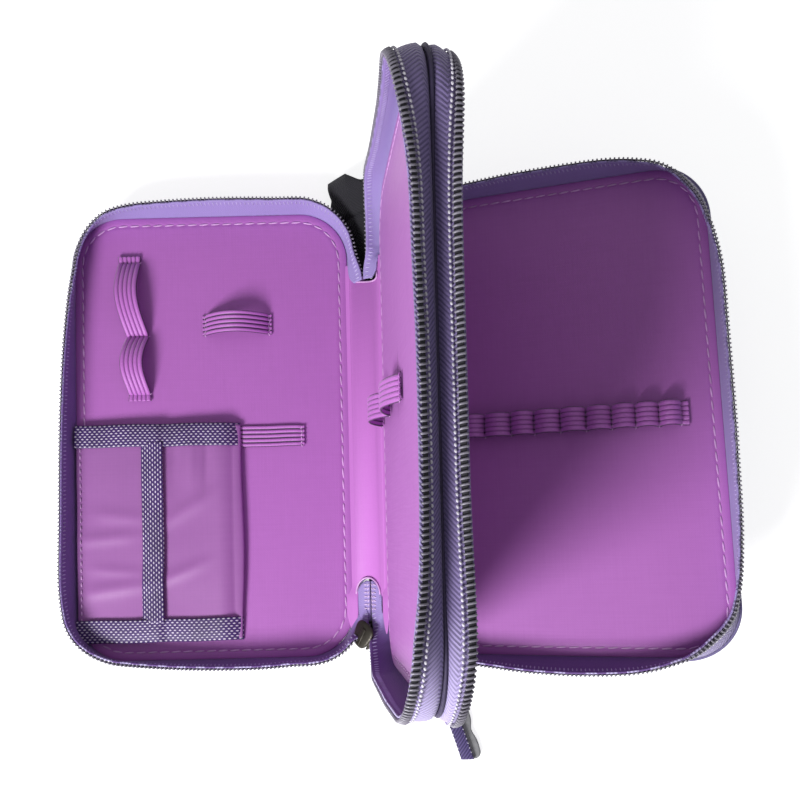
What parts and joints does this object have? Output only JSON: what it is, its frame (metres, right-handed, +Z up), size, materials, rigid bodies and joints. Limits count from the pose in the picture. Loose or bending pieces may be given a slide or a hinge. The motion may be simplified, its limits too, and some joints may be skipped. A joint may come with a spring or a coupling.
{
  "type": "zippered pencil case",
  "caption": "Open book-like pencil case: padded covers and a stiff divider on folding spine strips, each side closed by its own zip, with elastic loops and a flap pocket.",
  "frame": {"origin": "centre of the left cover's flat underside, on the table", "axes": "+Z up, +X across the open case from the left cover to the right cover, +Y along the spine towards the end with the grab tab"},
  "size_m": [0.2786, 0.254, 0.146],
  "materials": {
    "lining_cloth": "fine woven polyester lining, orchid purple",
    "zip_tape": "woven zip tape, lavender to slate",
    "shell_cloth": "woven outer cloth, slate purple",
    "stiffener_board": "matt board and foam, hidden",
    "zip_teeth": "dark nylon coil",
    "slider_metal": "dark gunmetal",
    "elastic": "ribbed elastic band, purple",
    "ribbon": "woven ribbon, dark purple with pale dots",
    "pocket_nylon": "satin nylon, purple",
    "tag_rubber": "matt grey rubber",
    "strap_webbing": "black webbing"
  },
  "bodies": {
    "divider": {"divider_board": "stiffener_board", "divider_edge_binding": "shell_cloth", "divider_left_lining": "lining_cloth", "divider_left_zip_tape": "zip_tape", "divider_left_zip_teeth": "zip_teeth", "divider_loop_strip": "elastic", "divider_right_lining": "lining_cloth", "divider_right_zip_tape": "zip_tape", "divider_right_zip_teeth": "zip_teeth"},
    "left_spine": {"left_spine_lining": "lining_cloth", "left_spine_panel": "shell_cloth", "left_zip_end_cover_side_tape": "zip_tape", "left_zip_end_cover_side_teeth": "zip_teeth", "left_zip_end_divider_side_tape": "zip_tape", "left_zip_end_divider_side_teeth": "zip_teeth", "left_zip_stop": "slider_metal", "left_zip_top_tape": "zip_tape", "grab_tab": "strap_webbing"},
    "left_cover": {"left_cover_shell": "shell_cloth", "left_cover_padding": "stiffener_board", "left_cover_lining": "lining_cloth", "left_cover_zip_tape": "zip_tape", "left_cover_zip_teeth": "zip_teeth", "left_cover_double_loop": "elastic", "left_cover_raised_loop": "elastic", "left_cover_flat_elastic": "elastic", "pocket_sewn_edge": "pocket_nylon"},
    "right_spine": {"right_spine_lining": "lining_cloth", "right_spine_panel": "shell_cloth", "right_zip_end_cover_side_tape": "zip_tape", "right_zip_end_cover_side_teeth": "zip_teeth", "right_zip_end_divider_side_tape": "zip_tape", "right_zip_end_divider_side_teeth": "zip_teeth", "right_zip_stop": "slider_metal", "right_zip_top_tape": "zip_tape"},
    "right_cover": {"right_cover_shell": "shell_cloth", "right_cover_padding": "stiffener_board", "right_cover_lining": "lining_cloth", "right_cover_zip_tape": "zip_tape", "right_cover_zip_teeth": "zip_teeth", "right_cover_pencil_loops": "elastic"},
    "pocket_flap": {"pocket_back_cloth": "pocket_nylon", "pocket_front_cloth": "pocket_nylon", "pocket_outer_pouch": "pocket_nylon", "pocket_top_binding": "ribbon", "pocket_bottom_binding": "ribbon", "pocket_centre_binding": "ribbon"},
    "left_slider": {"left_slider": "slider_metal"},
    "right_slider": {"right_slider": "slider_metal"},
    "left_pull": {"left_pull_tab": "slider_metal", "left_pull_ribbon": "ribbon", "left_pull_tag": "tag_rubber"},
    "right_pull": {"right_pull_tab": "slider_metal", "right_pull_ribbon": "ribbon", "right_pull_tag": "tag_rubber"}
  },
  "joints": [
    {"name": "left_spine_fold", "type": "hinge", "parent": "divider", "child": "left_spine", "pos_m": [0.07629, 0, 0.02019], "axis": [0, 1, 0], "range_deg": [-38, 48.5]},
    {"name": "left_cover_fold", "type": "hinge", "parent": "left_spine", "child": "left_cover", "pos_m": [0.06125, 0, 0.007], "axis": [0, 1, 0], "range_deg": [-38, 48.5]},
    {"name": "right_spine_fold", "type": "hinge", "parent": "divider", "child": "right_spine", "pos_m": [0.08065, 0, 0.01961], "axis": [0, 1, 0], "range_deg": [-31.5, 55]},
    {"name": "right_cover_fold", "type": "hinge", "parent": "right_spine", "child": "right_cover", "pos_m": [0.09702, 0, 0.00614], "axis": [0, 1, 0], "range_deg": [-31.5, 55]},
    {"name": "pocket_flap_lift", "type": "hinge", "parent": "left_cover", "child": "pocket_flap", "pos_m": [-0.04975, 0, 0.0107], "axis": [0, 1, 0], "range_deg": [-90, 0]},
    {"name": "left_slider_slide", "type": "slide", "parent": "left_spine", "child": "left_slider", "axis": [0, 1, 0], "range_m": [0, 0.011]},
    {"name": "right_slider_slide", "type": "slide", "parent": "right_spine", "child": "right_slider", "axis": [0, 1, 0], "range_m": [0, 0.011]},
    {"name": "left_pull_swing", "type": "hinge", "parent": "left_slider", "child": "left_pull", "pos_m": [0.07195, -0.084, 0.01186], "axis": [-0.7518, 0, -0.6593], "range_deg": [0, 150]},
    {"name": "right_pull_swing", "type": "hinge", "parent": "right_slider", "child": "right_pull", "pos_m": [0.08524, -0.084, 0.01143], "axis": [-0.7721, 0, 0.6355], "range_deg": [-70, 0]}
  ],
  "couplings": [
    {"joint": "left_spine_fold", "follows": "left_cover_fold", "ratio": 1},
    {"joint": "right_spine_fold", "follows": "right_cover_fold", "ratio": 1}
  ]
}
